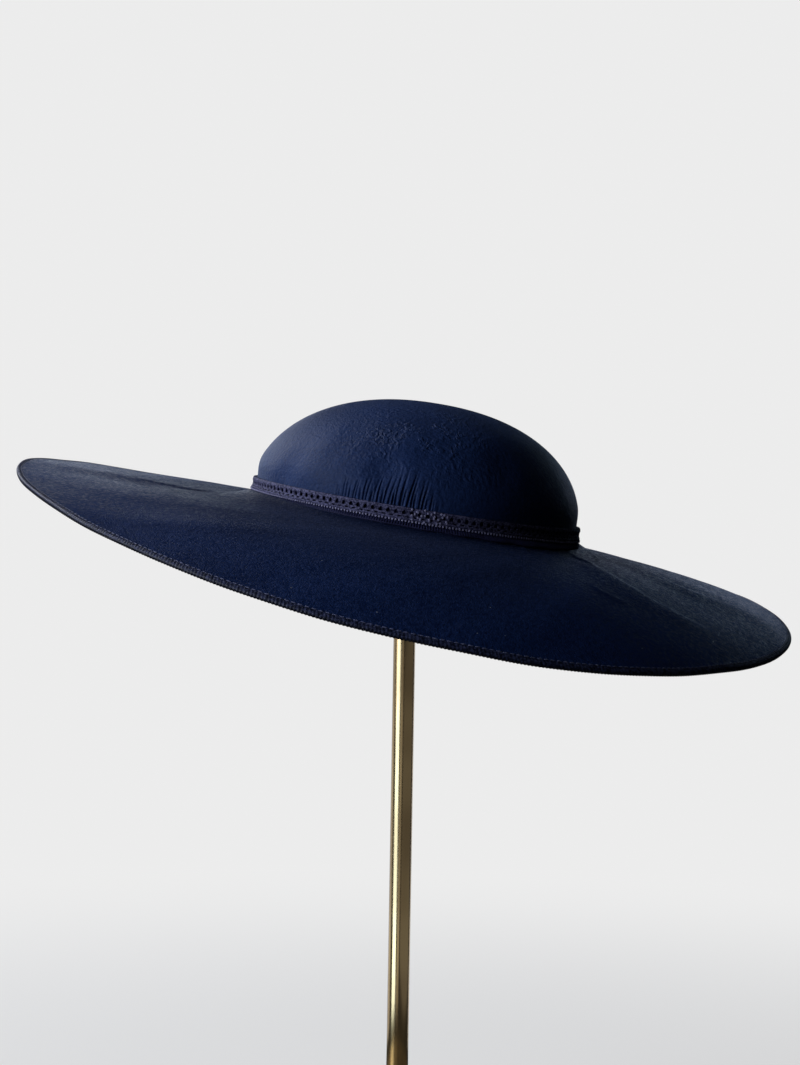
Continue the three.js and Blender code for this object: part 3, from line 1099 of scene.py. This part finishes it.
# Lights on the hat: place, size, radiance and colour
HAT_LIGHTS = {
    "window_front": ((-2.0, -1.3, 0.75), (1.3, 1.1), 4.3, BLUE),
    "window_left": ((-2.35, -0.55, 0.75), (1.3, 1.1), 2.9, COOL),
    "window_high": ((-1.8, -0.4, 1.5), (1.2, 1.0), 2.2, BLUE),
    "window_back": ((-1.4, 1.1, 1.65), (1.2, 1.0), 4.0, COOL),
    "bright_wall_left": ((-1.0, 1.8, 0.85), (1.6, 0.5), 1.8, (0.78, 0.84, 1)),
    "bright_wall_back": ((-0.6, 1.8, 0.55), (0.9, 0.35), 1.9, (0.72, 0.86, 1)),
    "bright_wall_low": ((0.5, 1.8, 0.5), (0.6, 0.3), 1.4, (0.65, 0.72, 1)),
    "bright_wall_right": ((0.9, 1.8, 0.85), (1.0, 0.5), 0.65, (0.5, 0.72, 1)),
    "room_high": ((-0.8, -1.5, 1.9), (1.2, 1.0), 0.5, COOL),
}

# Strips that only show as gloss, on the pole: place round it, width, radiance and colour
POLE_LIGHTS = {
    "pole_glint": ((-0.102, -0.066), 0.085, 7.5, (0.6, 0.78, 1)),
    "pole_glow": ((-0.031, -0.116), 0.05, 0.8, COOL),
    "pole_front": ((0.11, -0.0635), 0.34, 0.32, COOL),
    "pole_edge_left": ((-0.099, 0.069), 0.1, 1.0, COOL),
    "pole_edge_right": ((0.069, 0.099), 0.045, 1.0, COOL),
    "pole_back": ((0, 0.13), 0.3, 0.3, COOL),
}
POLE_LIGHT_MIDDLE = 0.15
POLE_LIGHT_HEIGHT = 0.28


def camera():
    bpy.ops.object.select_all(action="DESELECT")
    bpy.ops.object.camera_add(location=(hat_place + CAMERA_FROM_HAT) * MM)
    eye = bpy.context.object
    eye.rotation_euler = (math.radians(90), math.radians(-CAMERA_ROLL), 0)
    eye.data.sensor_fit = "VERTICAL"
    eye.data.sensor_height = SENSOR
    eye.data.sensor_width = SENSOR
    eye.data.lens = FOCAL_PIXELS / IMAGE_HEIGHT * SENSOR
    bpy.context.scene.camera = eye


def stage_piece(name, profile, material):
    profile = np.array(profile, float)
    piece, turn, point = spun_chain(name, len(profile), STAGE_STEPS, closed=False)
    radius, height = profile[point].T
    move_to(piece, polar(360 * turn, radius, height))
    close_seams(piece, merge=1e-4)
    piece.data.materials.append(material)
    return piece


def floor_finish():
    """Pale floor that takes soft shadows near the stand and turns into the even backdrop further out."""
    finish = Finish("floor_pale", Roughness=0.8, Specular_IOR_Level=0.1)
    finish.shader.inputs["Base Color"].default_value = (PALE, PALE, PALE, 1)
    away = finish.shade.node("VectorMath", {"operation": "LENGTH"}, {0: finish.place}, "Value")
    glow = finish.shade.node("Emission", None, {"Color": (1, 1, 1, 1), "Strength": PALE})
    lit = Shade(finish.tree, finish.shader.outputs[0])
    share = FLOOR_GLOW + (1 - FLOOR_GLOW) * away.between(*FLOOR_FADES)
    mixed = finish.shade.node("MixShader", None, {0: share, 1: lit, 2: glow})
    finish.tree.links.new(mixed.socket, finish.tree.nodes["Material Output"].inputs["Surface"])
    return finish.material


def backdrop_finish():
    finish = Finish("backdrop_pale")
    glow = finish.shade.node("Emission", None, {"Color": (1, 1, 1, 1), "Strength": PALE})
    finish.tree.links.new(glow.socket, finish.tree.nodes["Material Output"].inputs["Surface"])
    return finish.material


def soft_light(name, place, towards, size, radiance, colour=(1, 1, 1), in_gloss_only=False):
    bpy.ops.object.light_add(type="AREA", location=place)
    light = bpy.context.object
    light.name = name
    light.data.shape = "RECTANGLE"
    light.data.size, light.data.size_y = size
    light.data.energy = radiance * math.pi * size[0] * size[1]
    light.data.color = colour
    light.rotation_euler = (Vector(towards) - Vector(place)).to_track_quat("-Z", "Y").to_euler()
    light.visible_camera = False
    light.visible_diffuse = not in_gloss_only


def studio():
    angles = np.linspace(0, math.pi / 2, COVE_POINTS)
    cove = [(WALL_FOOT + COVE_RADIUS * math.sin(a), COVE_RADIUS * (1 - math.cos(a))) for a in angles]
    floor = stage_piece("floor", [(radius, 0) for radius in FLOOR_RADII], floor_finish())
    floor.visible_diffuse = False
    floor.visible_glossy = False
    wall = [(FLOOR_RADII[-1], 0), *cove, (WALL_FOOT + COVE_RADIUS, WALL_TOP)]
    backdrop = stage_piece("backdrop", wall, backdrop_finish())
    backdrop.visible_diffuse = False
    backdrop.visible_glossy = False
    backdrop.visible_shadow = False
    hat = Vector(on_stand(np.array((0, 0, HAT_MIDDLE))))
    for name, (place, size, radiance, colour) in HAT_LIGHTS.items():
        soft_light(name, place, hat, size, radiance, colour)
    pole_middle = (0, 0, POLE_LIGHT_MIDDLE)
    for name, (place, width, radiance, colour) in POLE_LIGHTS.items():
        place = (*place, POLE_LIGHT_MIDDLE)
        soft_light(name, place, pole_middle, (width, POLE_LIGHT_HEIGHT), radiance, colour, True)
    soft_light("floor_bounce", (0, 0, 0.02), hat, (1.0, 1.0), 0.06)
    world = bpy.data.worlds.new("studio_air")
    world.use_nodes = True
    world.node_tree.nodes["Background"].inputs["Color"].default_value = (1, 1, 1, 1)
    world.node_tree.nodes["Background"].inputs["Strength"].default_value = AIR
    bpy.context.scene.world = world
    bpy.context.scene.view_settings.view_transform = "Standard"


camera()
crown(crown_felt_finish())
brim(brim_felt_finish())
ribbon(ribbon_finish())
hem_binding(hem_tape_finish())
hem_stitches(thread_finish())
braid(braid_finish())
braid_loops(loop_finish())
brass_polished = brass_finish("brass_polished", roughness=0.14, metallic=1.0)
brass_satin = brass_finish("brass_satin", roughness=0.4, metallic=0.8)
pole(brass_polished)
rest(brass_satin)
base(brass_satin)
studio()
